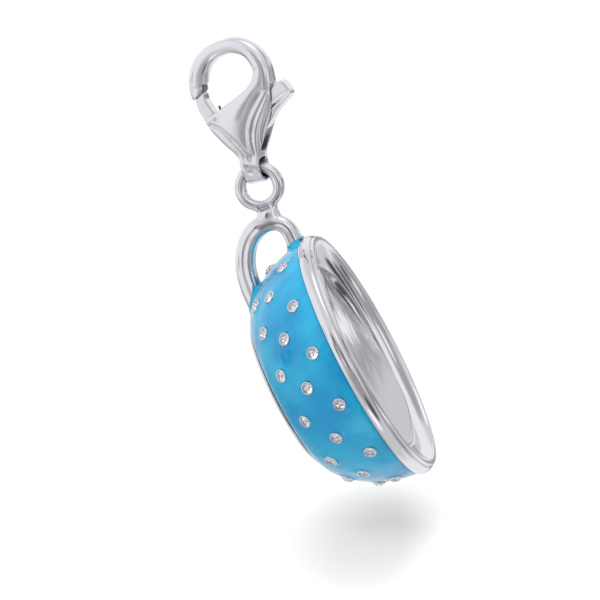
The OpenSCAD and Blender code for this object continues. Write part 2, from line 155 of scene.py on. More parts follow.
# The shadowed step and the flange of the thumb tab.
TAB_CHASING = (
    (-0.14, 0.13, ((4.6, 5.3), (4.06, 5.17), (3.43, 4.91), (2.79, 4.56))),
    (0.06, 0.12, ((4.79, 5.08), (4.07, 4.83), (3.35, 4.54), (2.59, 4.13))),
)
# The eye: half its length, its bevel, and for its barrel and its hole half the depth, the reach up and the reach
# down. How the hole flares: share of the length, more reach and more depth.
EYE_HALF = 0.84
EYE_BEVEL = 0.08
EYE_BARREL = (1.15, 1.4, 1.58)
EYE_HOLE = (0.63, 0.55, 0.85)
FLARE = ((0.12, 0, 0), (0.4, 0.1, 0.06), (0.65, 0.23, 0.14), (0.85, 0.4, 0.23), (1, 0.57, 0.32), (1.3, 0.9, 0.44))

# Handle: out from the cup's axis, along it, size against its two half widths.
HANDLE_HALF = (0.76, 0.84)
HANDLE = ((9.7, -1.8, 1.1), (10.6, -1.78, 0.98), (11.4, -1.76, 0.92), (12.1, -1.76, 0.88), (12.75, -2.0, 0.87),
          (13.2, -2.45, 0.88), (13.48, -3.1, 0.95), (13.55, -3.85, 1.03), (13.35, -4.6, 1.05), (12.9, -5.28, 1.05),
          (12.3, -5.85, 1.06), (11.5, -6.35, 1.08), (10.6, -6.7, 1.1), (9.4, -6.93, 1.12), (8.2, -7.0, 1.15),
          (7.2, -7.0, 1.16))
# The solder between handle and ring: out, along, half thickness, half width.
SOLDER = ((15.0, -2.62, 0.5, 0.42), (14.7, -2.66, 0.66, 0.5), (14.35, -2.7, 0.98, 0.62), (13.95, -2.8, 1.02, 0.68),
          (13.5, -3.0, 0.85, 0.6))
# Where the solder flows into the handle and the ring, and the line that dents it.
SOLDER_FLOW = ((14.7, -2.66), 1.9, 90)
SOLDER_DIMPLE = ((-0.26, 0.2, ((14.78, -3.1), (14.74, -2.8), (14.7, -2.4))),)
# Rows of stones: depth below the lip, then the degrees from the handle, which stand on both sides.
ROWS = ((2.9, (26, 54, 79, 105, 134, 166), ()),
        (4.72, (38, 65.5, 92, 120.5, 151), (0, 180)),
        (6.4, (30, 53, 80, 107.5, 137, 162), ()))
# Heights and depths along the cup's axis from its lip, radii from the axis.
LIP_HEIGHT = 0.3
BAND_HEIGHT = 1.05
BAND_BULGE = 0.25
BAND_FOOT = -LIP_HEIGHT - BAND_HEIGHT
CUP_DEPTH = 8.4
BOWL_CURVE = (1.7, 0.6)
WALL_UNDER = 0.3
FOOT_RADIUS = 6.4
FOOT_HEIGHT = 0.28
WALL_FOOT = FOOT_HEIGHT - CUP_DEPTH
# The sheet soldered into the cup isn't quite flat. Its twist is a height for each square millimetre out from its
# middle, which fades out over the width of its edge.
SHEET_DEPTH = 0.9
SHEET_RADIUS = 8.3
SHEET_DISH = 0.05
SHEET_TWIST = 0.01
SHEET_EDGE = 0.6


def stone_places():
    """(depth, degree) of every stone, in the order of the CAD nodes."""
    places = []
    for depth, sides, ends in ROWS:
        places += [(depth, a) for a in ends] + [(depth, a) for a in sides] + [(depth, -a) for a in sides]
    return places


# Places of the two frames that the CAD source draws in

def rotation(turn, axis):
    """A turn by so many degrees about an axis."""
    return Matrix.Rotation(radians(turn), 4, axis)


def clasp_matrix():
    return rotation(CLASP_LEAN, "Y") @ rotation(-CLASP_TURN, "Z") @ Matrix.Translation(-Vector(HANG_POINT))


def ring_centre():
    return clasp_matrix() @ Vector((EYE_X, 0, 0)) - Vector((RING_LEFT, 0, RING_DROP))


def cup_matrix():
    return (Matrix.Translation(ring_centre()) @ rotation(90 - CUP_TILT, "Y") @ rotation(180, "Z")
            @ Matrix.Translation((-RING_AT[0], 0, -RING_AT[1])))


# Curves and skins

def smooth_rows(rows, steps):
    """A smooth curve through rows of numbers, with so many steps between rows."""
    p = np.array(rows, float)
    out = []
    for i in range(len(p) - 1):
        a, b, c, d = p[max(i - 1, 0)], p[i], p[i + 1], p[min(i + 2, len(p) - 1)]
        for s in range(steps):
            t = s / steps
            out.append(0.5 * (2 * b + (c - a) * t + (2 * a - 5 * b + 4 * c - d) * t * t
                              + (3 * b - a - 3 * c + d) * t ** 3))
    return np.array(out + [p[-1]])


def oval(angle, power):
    """A point of an oval that is round at power 2 and squarer above it."""
    c, s = cos(angle), sin(angle)
    return (copysign(abs(c) ** (2 / power), c), copysign(abs(s) ** (2 / power), s))


def linked(name, data):
    """An object of this data in the scene."""
    item = bpy.data.objects.new(name, data)
    bpy.context.scene.collection.objects.link(item)
    return item


def new_mesh(name, points, faces, edges=()):
    mesh = bpy.data.meshes.new(name)
    mesh.from_pydata([tuple(p) for p in points], edges, faces)
    return linked(name, mesh)


def outward(piece):
    """Doubles merged and every face pointing out."""
    bm = bmesh.new()
    bm.from_mesh(piece.data)
    bmesh.ops.remove_doubles(bm, verts=bm.verts, dist=TOUCHING)
    bmesh.ops.recalc_face_normals(bm, faces=bm.faces)
    bm.to_mesh(piece.data)
    bm.free()
    return piece


def skin(name, rings, closed=False):
    """A skin over rings with the same number of points, capped at both ends or closed on itself."""
    count, rows = len(rings[0]), len(rings)
    points = [p for ring in rings for p in ring]
    faces = []
    for i in range(rows if closed else rows - 1):
        low, high = i * count, (i + 1) % rows * count
        faces += [(low + k, high + k, high + (k + 1) % count, low + (k + 1) % count) for k in range(count)]
    if not closed:
        faces += [tuple(range(count)), tuple((rows - 1) * count + k for k in range(count - 1, -1, -1))]
    return outward(new_mesh(name, points, faces))


def bar_rings(rows, count, power, inner=None):
    """Rings of an oval bar whose middle line runs in the xz plane. A row is x, z, half thickness, half width.
    The power says how square its section is, with another for the side on the left of its run."""
    rings = []
    for i in range(len(rows)):
        run = rows[min(i + 1, len(rows) - 1)][:2] - rows[max(i - 1, 0)][:2]
        run = run / np.linalg.norm(run)
        x, z, thick, wide = rows[i]
        ring = []
        for k in range(count):
            angle = tau * k / count
            a, b = oval(angle, inner if inner and cos(angle) > 0 else power)
            ring.append((x + run[1] * thick * a, wide * b, z - run[0] * thick * a))
        rings.append(ring)
    return rings


def prism(name, outline, depth):
    """An outline in the xz plane, drawn out to both sides of it."""
    return skin(name, [[(x, y, z) for x, z in outline] for y in (-depth / 2, depth / 2)])


def drop(*pieces):
    for piece in pieces:
        mesh = piece.data
        bpy.data.objects.remove(piece)
        bpy.data.meshes.remove(mesh)


def applied(piece):
    """The piece's modifiers turned into its plain mesh."""
    depsgraph = bpy.context.evaluated_depsgraph_get()
    mesh = bpy.data.meshes.new_from_object(piece.evaluated_get(depsgraph))
    old = piece.data
    piece.modifiers.clear()
    piece.data = mesh
    mesh.name = piece.name
    bpy.data.meshes.remove(old)
    return piece


def joined(name, pieces):
    """One piece of several that lie in each other."""
    bm = bmesh.new()
    for piece in pieces:
        bm.from_mesh(piece.data)
    mesh = bpy.data.meshes.new(name)
    bm.to_mesh(mesh)
    bm.free()
    drop(*pieces)
    return linked(name, mesh)


def cast(piece, step, rounds):
    """One even mesh over everything in the piece, its edges and corners rounded as a casting's are."""
    remesh = piece.modifiers.new("Even mesh", "REMESH")
    remesh.mode = "VOXEL"
    remesh.voxel_size = step
    smooth = piece.modifiers.new("Rounding", "SMOOTH")
    smooth.factor = 0.5
    smooth.iterations = rounds
    return applied(piece)


def cut(piece, *tools):
    """The tools taken out of the piece."""
    for tool in tools:
        boolean = piece.modifiers.new("Cut", "BOOLEAN")
        boolean.operation = "DIFFERENCE"
        boolean.object = tool
        boolean.solver = "MANIFOLD"
        applied(piece)
    drop(*tools)
    return piece


def placed(piece, matrix, maker):
    """From millimetres in a drawing frame to metres in the shared frame, smooth shaded, in the maker's material."""
    piece.data.transform(Matrix.Scale(MM, 4) @ matrix)
    piece.data.shade_smooth()
    give(piece, maker)


def circle(radius, z, count, turn=0.0):
    """So many points round z, the first one at this angle."""
    angles = [tau * k / count + turn for k in range(count)]
    return [(radius * cos(a), radius * sin(a), z) for a in angles]


def lathe(name, profile, segments):
    """A profile of radius and height turned round z; its ends on the axis are closed."""
    points, faces, rings = [], [], []
    for r, z in profile:
        if r < TOUCHING:
            rings.append([len(points)] * segments)
            points.append((0, 0, z))
        else:
            rings.append(list(range(len(points), len(points) + segments)))
            points += circle(r, z, segments)
    for low, high in zip(rings, rings[1:]):
        for k in range(segments):
            n = (k + 1) % segments
            face = tuple(dict.fromkeys((low[k], low[n], high[n], high[k])))
            if len(face) > 2:
                faces.append(face)
    return outward(new_mesh(name, points, faces))


# The cup's outside

def bowl_r(z):
    """Radius of the enamel's outside at a height."""
    u = min(max((BAND_FOOT - z) / (BAND_FOOT - WALL_FOOT), 0), 1)
    top = sizes().rim_radius / MM - BAND_BULGE
    return FOOT_RADIUS + (top - FOOT_RADIUS) * (1 - u ** BOWL_CURVE[0]) ** BOWL_CURVE[1]


def bowl_points(steps):
    """Radius and height down the enamel's outside, closer together towards the foot."""
    heights = [BAND_FOOT + (WALL_FOOT - BAND_FOOT) * sin(pi / 2 * i / steps) for i in range(steps + 1)]
    return [(bowl_r(z), z) for z in heights]


def stone_matrix(depth, degree):
    """From a stone's own frame, its axis on z and the enamel's surface at 0, to the cup's frame."""
    z = -depth
    lean = degrees(atan((bowl_r(z + 0.05) - bowl_r(z - 0.05)) / 0.1))
    return rotation(degree, "Z") @ Matrix.Translation((bowl_r(z), 0, z)) @ rotation(90 + lean, "Y")


# Materials

def add_node(tree, kind, inputs=(), stops=(), **settings):
    """A node with its settings. An input is a value, a socket to read, or a node whose first output is read.
    Stops are the places and colours of a ramp."""
    node = tree.nodes.new(kind)
    for key, value in settings.items():
        setattr(node, key, value)
    for key, value in dict(inputs).items():
        if isinstance(value, bpy.types.Node):
            value = value.outputs[0]
        if isinstance(value, bpy.types.NodeSocket):
            tree.links.new(value, node.inputs[key])
        else:
            node.inputs[key].default_value = value
    if stops:
        elements = node.color_ramp.elements
        while len(elements) < len(stops):
            elements.new(0.5)
        for element, (place, colour) in zip(elements, stops):
            element.position, element.color = place, colour
    return node


def grey(value):
    return (value, value, value, 1)


def patches(tree, place, size, detail, *stops):
    """A surface in patches about size millimetres across."""
    spots = add_node(tree, "ShaderNodeTexNoise", {"Vector": place, "Scale": 1 / (size * MM), "Detail": detail})
    return add_node(tree, "ShaderNodeValToRGB", {"Fac": spots}, stops)


def relief(tree, place, size, detail, depth, strength, under=(0, 0, 0), rough=0.5):
    """Hills about size millimetres across and depth millimetres high, over other relief."""
    hills = add_node(tree, "ShaderNodeTexNoise", {
        "Vector": place, "Scale": 1 / (size * MM), "Detail": detail, "Roughness": rough})
    return add_node(tree, "ShaderNodeBump", {
        "Height": hills, "Distance": depth * MM, "Strength": strength, "Normal": under})


def sterling_silver(tree, place, smoothest, roughest, wave, shade, metallic=1.0):
    """Silver in smoother and rougher patches, with hand-polishing waves so many millimetres deep and a fine grain,
    darkened in its corners and creases by painted shade and tarnish, by the share shade."""
    # Painted shade and tarnish: ambient occlusion darkens the colour towards brown-grey in corners and creases.
    corners = add_node(tree, "ShaderNodeAmbientOcclusion", {"Distance": 0.9 * MM}, samples=8)
    tarnish = add_node(tree, "ShaderNodeValToRGB", {"Fac": corners.outputs["AO"]}, (
        (0.0, hex_colour("857A75")), (0.45, finish().tarnish), (0.85, finish().silver)))
    colour = add_node(tree, "ShaderNodeMix", {0: shade, 6: finish().silver, 7: tarnish}, data_type="RGBA")
    gloss = patches(tree, place, 1.2, 4, (0.3, grey(smoothest)), (0.75, grey(roughest)))
    waves = relief(tree, place, 3, 1, wave, 0.5)
    grain = relief(tree, place, 0.06, 2, 0.002, 0.25, under=waves)
    return add_node(tree, "ShaderNodeBsdfPrincipled", {
        "Base Color": colour.outputs[2], "Metallic": metallic, "Roughness": gloss, "Normal": grain})


def polished_sterling_silver(tree, place):
    # Polished sterling: the cup is a mirror with slow waves, with dark lines of painted shade and tarnish in its
    # seams.
    return sterling_silver(tree, place, 0.06, 0.11, wave=0.08, shade=1.0)


def tumbled_sterling_silver(tree, place):
    # Cast sterling polished by tumbling: the clasp's soft shine, grey in its creases from painted shade and tarnish, a
    # little chalky in its slots.
    return sterling_silver(tree, place, 0.16, 0.23, wave=0.06, shade=0.35, metallic=0.92)


def bright_cut_sterling_silver(tree, place):
    # Bright cut sterling of the bezels: white and clean right under the stones.
    return sterling_silver(tree, place, 0.1, 0.14, wave=0.01, shade=0.0)


def glossy_blue_enamel(tree, place):
    # Fired glossy enamel: opaque blue glass, deeper where it pooled, with a clear skin and slow waves.
    pools = patches(tree, place, 4, 2, (0.35, finish().enamel_deep), (0.65, finish().enamel))
    waves = relief(tree, place, 2.6, 2, 0.25, 0.6, rough=0.6)
    return add_node(tree, "ShaderNodeBsdfPrincipled", {
        "Base Color": pools, "Roughness": 0.16, "IOR": 1.5, "Coat Weight": 0.3, "Coat Roughness": 0.03,
        "Normal": waves, "Coat Normal": waves})


def cut_clear_stone(tree, place):
    # Cut cubic zirconia: colourless, sharp and very bright, with faint polishing marks.
    marks = patches(tree, place, 0.4, 1, (0.4, grey(0.0)), (0.8, grey(0.03)))
    return add_node(tree, "ShaderNodeBsdfPrincipled", {
        "Base Color": hex_colour("FBFCFF"), "Transmission Weight": 0.88, "IOR": 2.15, "Roughness": marks})


def drawn_spring_steel(tree, place):
    # Drawn steel wire, dull and darkened by handling. Its grain is drawn as coarse as it needs to show.
    stains = patches(tree, place, 0.4, 3, (0.35, hex_colour("3A3636")), (0.7, finish().steel))
    grain = relief(tree, place, 0.05, 2, 0.004, 0.4)
    return add_node(tree, "ShaderNodeBsdfPrincipled", {
        "Base Color": stains, "Metallic": 1.0, "Roughness": 0.32, "Normal": grain})


def matt_white_floor(tree, place):
    # Matt white board, lit from all sides. It is clear from below, so that it hides nothing of the charm.
    board = add_node(tree, "ShaderNodeBsdfPrincipled", {
        "Base Color": patches(tree, place, 10, 2, (0.4, hex_colour("FFFFFE")), (0.6, hex_colour("FEFFFF"))),
        "Roughness": 1.0, "Emission Color": grey(1), "Emission Strength": 0.105})
    below = add_node(tree, "ShaderNodeNewGeometry").outputs["Backfacing"]
    return add_node(tree, "ShaderNodeMixShader", {0: below, 1: board, 2: add_node(tree, "ShaderNodeBsdfTransparent")})


def material_of(maker):
    """The maker's material, made when it is first asked for."""
    material = bpy.data.materials.get(maker.__name__)
    if not material:
        material = bpy.data.materials.new(maker.__name__)
        material.use_nodes = True
        tree = material.node_tree
        tree.nodes.clear()
        place = add_node(tree, "ShaderNodeTexCoord").outputs["Object"]
        add_node(tree, "ShaderNodeOutputMaterial", {"Surface": maker(tree, place)})
    return material


def give(piece, maker):
    piece.data.materials.clear()
    piece.data.materials.append(material_of(maker))


# Clasp

def seam_block(side):
    """Everything below the seam (side -1) or above it (side 1), with half the gap."""
    left, right, tall, deep = -1.2, 1.4, 3, 4
    low = -SEAM_GAP / 2 if side > 0 else SEAM_GAP / 2 - tall
    block = prism("seam_block", [(left, low), (right, low), (right, low + tall), (left, low + tall)], deep)
    block.data.transform(Matrix.Translation((SEAM_AT[0], 0, SEAM_AT[1])) @ rotation(-SEAM_SLOPE, "Y"))
    return block


def eye_ring(x, depth, up, down):
    middle, half = (up - down) / 2, (up + down) / 2
    return [(EYE_X + x, depth * cos(radians(7.5 * k)), middle + half * sin(radians(7.5 * k))) for k in range(48)]


def eye_barrel():
    depth, up, down = EYE_BARREL
    inner = EYE_HALF - EYE_BEVEL
    return skin("barrel", [eye_ring(x, depth - bevel, up, down - bevel) for x, bevel in (
        (-EYE_HALF, EYE_BEVEL), (-inner, 0), (inner, 0), (EYE_HALF, EYE_BEVEL))])


def eye_hole():
    depth, up, down = EYE_HOLE
    rows = smooth_rows(FLARE, 4)
    return skin("eye_hole", [eye_ring(side * a * EYE_HALF, depth + c, up, down + b)
                             for side, half in ((-1, rows[::-1]), (1, rows)) for a, b, c in half])


def cheek_rings():
    section = [oval(tau * k / 64, 2.3) for k in range(64)]
    rings = []
    for z, left, right, depth in smooth_rows(CHEEKS, 5):
        middle, half = (left + right) / 2, (right - left) / 2
        rings.append([(middle + half * a, depth * b, z) for a, b in section])
    return rings


def hook_rows():
    rows = smooth_rows(HOOK, 8)
    a, r = np.radians(rows[:, 0]), HOOK_RADIUS * rows[:, 1]
    return np.stack([HOOK_CENTRE[0] + r * np.cos(a), HOOK_CENTRE[1] + r * np.sin(a), rows[:, 2], rows[:, 3]], 1)


def eased(piece, centre, reach, rounds):
    """Surfaces that meet within reach of a point of the clasp's plane are blended into each other."""
    mesh = piece.data
    points = mesh_points(mesh)
    edges = np.empty(len(mesh.edges) * 2, int)
    mesh.edges.foreach_get("vertices", edges)
    a, b = edges.reshape(-1, 2).T
    count = np.bincount(edges, minlength=len(points))[:, None]
    away = np.hypot(points[:, 0] - centre[0], points[:, 2] - centre[1]) / reach
    share = 0.5 * np.clip(1.5 - 1.5 * away, 0, 1)[:, None]
    for _ in range(rounds):
        total = np.zeros_like(points)
        np.add.at(total, a, points[b])
        np.add.at(total, b, points[a])
        points += share * (total / count - points)
    mesh.vertices.foreach_set("co", points.ravel())
    mesh.update()


def mesh_points(mesh, what="co"):
    values = np.empty(len(mesh.vertices) * 3)
    mesh.vertices.foreach_get(what, values)
    return values.reshape(-1, 3)


def chased(piece, lines, beyond):
    """Grooves and ridges on both faces that lie beyond so far from the middle, each along its line of points."""
    mesh = piece.data
    points, normals = mesh_points(mesh), mesh_points(mesh, "normal")
    side = np.sign(points[:, 1])
    facing = np.clip((normals[:, 1] * side - 0.15) / 0.5, 0, 1) * (np.abs(points[:, 1]) > beyond)
    flat = points[:, [0, 2]]
    height = np.zeros(len(points))
    for rise, half, line in lines:
        line = smooth_rows(line, 5)
        near = np.full(len(points), np.inf)
        for start, end in zip(line, line[1:]):
            run = end - start
            t = np.clip((flat - start) @ run / (run @ run), 0, 1)
            near = np.minimum(near, np.linalg.norm(flat - start - t[:, None] * run, axis=1))
        height += rise * np.exp(-(near / half) ** 2)
    points[:, 1] += side * facing * height
    mesh.vertices.foreach_set("co", points.ravel())
    mesh.update()


class CHARM_OT_clasp(bpy.types.Operator):
    """Casts the clasp's hook, cheeks and eye in one piece"""
    bl_idname = "charm.clasp"
    bl_label = "Clasp"

    def execute(self, context):
        step = sizes().casting_step / MM
        cheeks = cut(skin("cheeks", cheek_rings()), prism("throat", THROAT, depth=6))
        hook = cut(skin("hook", bar_rings(hook_rows(), count=48, power=2.2)), seam_block(-1))
        body = cast(joined("clasp_silver", [cheeks, hook, eye_barrel()]), step, rounds=8)
        cut(body, prism("slot", SLOT, SLOT_WIDTH), eye_hole())
        cast(body, step, rounds=3)
        eased(body, *BLEND)
        chased(body, CHASING, beyond=SLOT_WIDTH / 2 + 0.08)
        eased(body, *CHASING_POLISH)
        placed(body, clasp_matrix(), tumbled_sterling_silver)
        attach(body, "clasp")
        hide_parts("clasp_body")
        return {"FINISHED"}


class CHARM_OT_lever(bpy.types.Operator):
    """Makes the lever that closes the hook"""
    bl_idname = "charm.lever"
    bl_label = "Lever"

    def execute(self, context):
        lever = prism("lever_silver", LEVER, LEVER_THICKNESS)
        cut(lever, seam_block(1))
        cast(lever, sizes().casting_step / MM, rounds=5)
        chased(lever, TAB_CHASING, beyond=LEVER_THICKNESS / 2 - 0.1)
        placed(lever, clasp_matrix(), tumbled_sterling_silver)
        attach(lever, "lever")
        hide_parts("clasp_lever")
        return {"FINISHED"}


class CHARM_OT_pin(bpy.types.Operator):
    """Gives the lever's pin its finish"""
    bl_idname = "charm.pin"
    bl_label = "Lever pin"

    def execute(self, context):
        give(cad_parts["lever_pin"], tumbled_sterling_silver)
        return {"FINISHED"}


# Geometry Nodes

def begin_tree(name, inputs):
    """A Geometry Nodes tree with named inputs (name, kind of socket, value), and the sockets that give them."""
    tree = bpy.data.node_groups.new(name, "GeometryNodeTree")
    for way in ("INPUT", "OUTPUT"):
        tree.interface.new_socket("Geometry", in_out=way, socket_type="NodeSocketGeometry")
    for label, kind, _ in inputs:
        tree.interface.new_socket(label, in_out="INPUT", socket_type=kind)
    return tree, add_node(tree, "NodeGroupInput").outputs


def end_tree(tree, given, made):
    """Realize Instances and Set Material, and out."""
    real = add_node(tree, "GeometryNodeRealizeInstances", {"Geometry": made})
    paint = add_node(tree, "GeometryNodeSetMaterial", {"Geometry": real, "Material": given["Material"]})
    add_node(tree, "NodeGroupOutput", {"Geometry": paint})


def run_tree(piece, tree, inputs):
    """Runs the tree on the piece, and keeps the result as its plain mesh."""
    modifier = piece.modifiers.new(tree.name, "NODES")
    modifier.node_group = tree
    sockets = {item.name: item.identifier for item in tree.interface.items_tree if item.in_out == "INPUT"}
    for label, _, value in inputs:
        modifier[sockets[label]] = value
    return applied(piece)


# The spring's coil round the pivot: how far it lies inside the lever's face, and its pitch against the wire's
# thickness. Its leg: where it ends in the clasp's plane, and how far it lies behind the first turn.
COIL_INSET = 0.02
COIL_RADIUS = 0.6
COIL_TURNS = 1.5
COIL_PITCH = 1.06
COIL_STEPS = 48
LEG_END = (-2.05, 5.35)
LEG_BEHIND = 0.04
LEG_STEPS = 8


def spring_route(wire):
    """The wire's middle line in the clasp's frame, from the end of the leg and then round the pin."""
    front = COIL_INSET + wire / 2 - LEVER_THICKNESS / 2
    foot = Vector((PIVOT[0] - COIL_RADIUS, front + LEG_BEHIND, PIVOT[1]))
    end = Vector((LEG_END[0], front + LEG_BEHIND, LEG_END[1]))
    route = [end.lerp(foot, i / LEG_STEPS) for i in range(LEG_STEPS + 1)]
    for i in range(1, COIL_STEPS + 1):
        a = tau * COIL_TURNS * i / COIL_STEPS
        route.append(Vector((PIVOT[0] - COIL_RADIUS * cos(a), front + wire * COIL_PITCH * a / tau,
                             PIVOT[1] + COIL_RADIUS * sin(a))))
    return route


class CHARM_OT_spring(bpy.types.Operator):
    """Winds the lever's spring from its wire"""
    bl_idname = "charm.spring"
    bl_label = "Lever spring"

    def execute(self, context):
        wire = sizes().spring_wire
        matrix = Matrix.Scale(MM, 4) @ clasp_matrix()
        points = [matrix @ p for p in spring_route(wire / MM)]
        piece = new_mesh("spring_wire", points, [], [(i, i + 1) for i in range(len(points) - 1)])
        inputs = [("Wire radius", "NodeSocketFloat", wire / 2),
                  ("Material", "NodeSocketMaterial", material_of(drawn_spring_steel))]
        tree, given = begin_tree("wire_along_path", inputs)
        path = add_node(tree, "GeometryNodeMeshToCurve", {"Mesh": given["Geometry"]})
        section = add_node(tree, "GeometryNodeCurvePrimitiveCircle", {
            "Resolution": 16, "Radius": given["Wire radius"]})
        sweep = add_node(tree, "GeometryNodeCurveToMesh", {
            "Curve": path, "Profile Curve": section, "Fill Caps": True})
        end_tree(tree, given, sweep)
        outward(run_tree(piece, tree, inputs)).data.shade_smooth()
        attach(piece, "lever")
        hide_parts("lever_spring")
        return {"FINISHED"}


# Cup

def bend(a, b, c, steps):
    """Quadratic curve between two points with one control point."""
    return [tuple((1 - t) ** 2 * a[k] + 2 * t * (1 - t) * b[k] + t * t * c[k] for k in (0, 1))
            for t in (i / steps for i in range(steps + 1))]


def arc(centre, radius, start, end, steps):
    angles = [radians(start + (end - start) * i / steps) for i in range(steps + 1)]
    return [(centre[0] + radius * cos(a), centre[1] + radius * sin(a)) for a in angles]


def torus(name, radius, wire, centre):
    """A ring lying in the xz plane."""
    section = [(radius + x, y) for x, y, _ in circle(wire, 0, 40)]
    rings = [[(centre[0] + r * x, centre[1] + y, centre[2] + r * z) for r, y in section]
             for x, z, _ in circle(1, 0, 96)]
    return skin(name, rings, closed=True)


def cup_profile(rim):
    """Radius and height from the middle of the sheet up to the lip, and down the outside to the foot's middle."""
    lip_in, lip_out, lip = rim - 0.78, rim - 0.3, 0.12
    profile = [(SHEET_RADIUS * t, -SHEET_DEPTH - SHEET_DISH * (1 - t * t)) for t in np.linspace(0, 0.98, 20)]
    profile += [(SHEET_RADIUS - 0.1, -SHEET_DEPTH - 0.05), (SHEET_RADIUS - 0.06, -SHEET_DEPTH - 0.2),
                (SHEET_RADIUS + 0.08, -SHEET_DEPTH - 0.2)]
    profile += bend((SHEET_RADIUS + 0.12, -SHEET_DEPTH + 0.02), (rim - 1.3, -0.72), (lip_in, -lip), 14)
    profile += arc((lip_in + lip, -lip), lip, 180, 90, 6)[1:]
    profile += arc((lip_out - lip, -lip), lip, 90, 0, 6)
    profile += [(lip_out, -0.2), (lip_out - 0.02, -0.27), (lip_out - 0.01, -LIP_HEIGHT - 0.01)]
    profile += [(rim - BAND_BULGE + BAND_BULGE * cos(radians(a)),
                 -LIP_HEIGHT - BAND_HEIGHT / 2 - BAND_HEIGHT / 2 * sin(radians(a)))
                for a in range(-84, 91, 6)]
    wall = [(r - WALL_UNDER, z) for r, z in bowl_points(24)[1:-1]]
    profile += [(wall[0][0], BAND_FOOT)] + wall + [(FOOT_RADIUS - 0.02, WALL_FOOT)]
    profile += arc((FOOT_RADIUS - 0.1, WALL_FOOT - 0.1), 0.1, 90, 0, 4)[1:]
    profile += arc((FOOT_RADIUS - 0.14, -CUP_DEPTH + 0.14), 0.14, 0, -90, 5)
    return profile + [(FOOT_RADIUS * share, -CUP_DEPTH) for share in (0.6, 0.3, 0)]


def twist_sheet(cup):
    """Twists the sheet in the cup a little, less and less towards its edge."""
    for vertex in cup.data.vertices:
        x, y, z = vertex.co
        r = hypot(x, y)
        if r < SHEET_RADIUS and z > -SHEET_DEPTH - 1:
            inside = min(1, (SHEET_RADIUS - r) / SHEET_EDGE)
            vertex.co.z += SHEET_TWIST * x * y * inside * inside * (3 - 2 * inside)


class CHARM_OT_cup(bpy.types.Operator):
    """Turns the silver cup and joins its handle and bail ring to it"""
    bl_idname = "charm.cup"
    bl_label = "Silver cup"

    def execute(self, context):
        turned = lathe("turned_cup", cup_profile(sizes().rim_radius / MM), segments=256)
        twist_sheet(turned)
        rows = [(x, z, HANDLE_HALF[0] * f, HANDLE_HALF[1] * f) for x, z, f in smooth_rows(HANDLE, 6)]
        handle = skin("handle", bar_rings(np.array(rows), count=64, power=2.0, inner=5.0))
        neck = skin("neck", bar_rings(smooth_rows(SOLDER, 4), count=32, power=2.0))
        ring = torus("ring", sizes().ring_radius / MM, sizes().ring_wire / MM, (RING_AT[0], 0, RING_AT[1]))
        loop = cast(joined("loop", [handle, neck, ring]), sizes().casting_step / MM, rounds=8)
        eased(loop, *SOLDER_FLOW)
        chased(loop, SOLDER_DIMPLE, beyond=0.15)
        cup = joined("cup_silver_turned", [turned, loop])
        placed(cup, cup_matrix(), polished_sterling_silver)
        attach(cup, "pendant")
        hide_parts("cup_silver")
        return {"FINISHED"}


# Enamel

# Collars at the handle's roots: middle of the root along the axis, half widths of the bar there, clearance, and the
# border with the bare silver as a point and the degree that it faces.
COLLARS = ((-1.78, (0.745, 0.823), 0.12, (10.95, -2.1), -12.0), (-6.97, (0.86, 0.95), 0.14, (8.98, -6.78), -62.0))
COLLAR_FILLET = 0.45
COLLAR_SUNK = 0.05
COLLAR_ROUND = 0.1
COLLAR_REACH = 12.6
COLLAR_COLUMNS = 96
# Radius and depth of the hole in the coat under a bezel, and the lip round it: height, width and reach.
BED = (0.5, 0.28)
BED_LIP = (0.09, 0.3, 1.6)
# Columns round the wall and rows down it, and its rounded borders: how many rows and how deep.
WALL_COLUMNS = 560
WALL_ROWS = 64
BORDER_ROWS = 3
BORDER_DROP = 0.05


def enamel_lift(point, places):
    """How far the enamel's surface lies above its even thickness, at a point of the cup's frame."""
    lift = 0.0
    height, width, reach = BED_LIP
    for centre in places:
        d = (point - centre).length
        if d < BED[0]:
            return -BED[1]
        if d < reach:
            lift += height * exp(-((d - BED[0]) / width) ** 2)
    return lift


def enamel_wall():
    """The coat over the cup's wall, as a closed shell, with a raised lip round each bezel."""
    places = [stone_matrix(*p).translation for p in stone_places()]
    line = bowl_points(WALL_ROWS)
    thick = sizes().enamel_thickness / MM
    rings = []
    for k in range(WALL_COLUMNS):
        a = tau * k / WALL_COLUMNS
        c, s = cos(a), sin(a)
        outer, inner = [], []
        for i, (r, z) in enumerate(line):
            before, after = line[max(i - 1, 0)], line[min(i + 1, WALL_ROWS)]
            run = Vector((after[0] - before[0], after[1] - before[1])).normalized()
            out, up = -run[1], run[0]
            edge = min(i / BORDER_ROWS, (WALL_ROWS - i) / BORDER_ROWS, 1)
            lift = enamel_lift(Vector((r * c, r * s, z)), places) * edge - BORDER_DROP * (1 - edge) ** 2
            outer.append(((r + out * lift) * c, (r + out * lift) * s, z + up * lift * edge))
            r_in = max(r - out * thick, FOOT_RADIUS - thick)
            inner.append((r_in * c, r_in * s, min(max(z - up * thick, WALL_FOOT), BAND_FOOT)))
        rings.append(outer + inner[::-1])
    return skin("enamel_wall", rings, closed=True)


